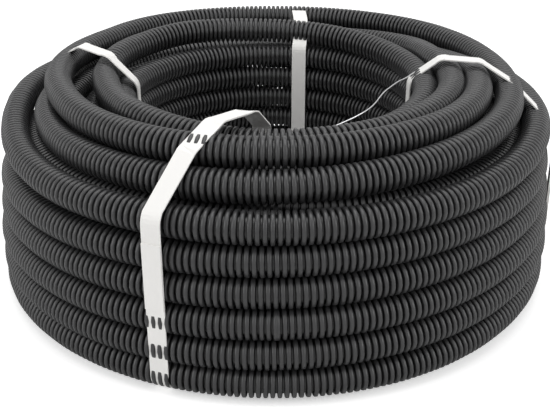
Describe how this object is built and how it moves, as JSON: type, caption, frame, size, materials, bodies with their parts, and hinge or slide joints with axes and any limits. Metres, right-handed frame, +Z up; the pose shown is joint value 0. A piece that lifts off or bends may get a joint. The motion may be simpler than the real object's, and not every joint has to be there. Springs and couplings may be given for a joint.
{
  "type": "corrugated conduit coil",
  "caption": "Coil of black 16 mm corrugated plastic conduit with a steel draw wire inside, held by white plastic straps.",
  "frame": {"origin": "on the floor under the middle of the coil's bore", "axes": "+Z up along the coil's axis, -Y towards the front, +X to the right"},
  "size_m": [0.326, 0.3273, 0.1259],
  "materials": {
    "pipe_plastic": "satin",
    "strapping": "matte",
    "wire_steel": "satin"
  },
  "bodies": {
    "root": {"conduit_coil": "pipe_plastic", "conduit_end": "pipe_plastic", "strap_front": "strapping", "strap_left": "strapping", "strap_rear": "strapping", "strap_right": "strapping", "draw_wire": "wire_steel"}
  },
  "joints": []
}
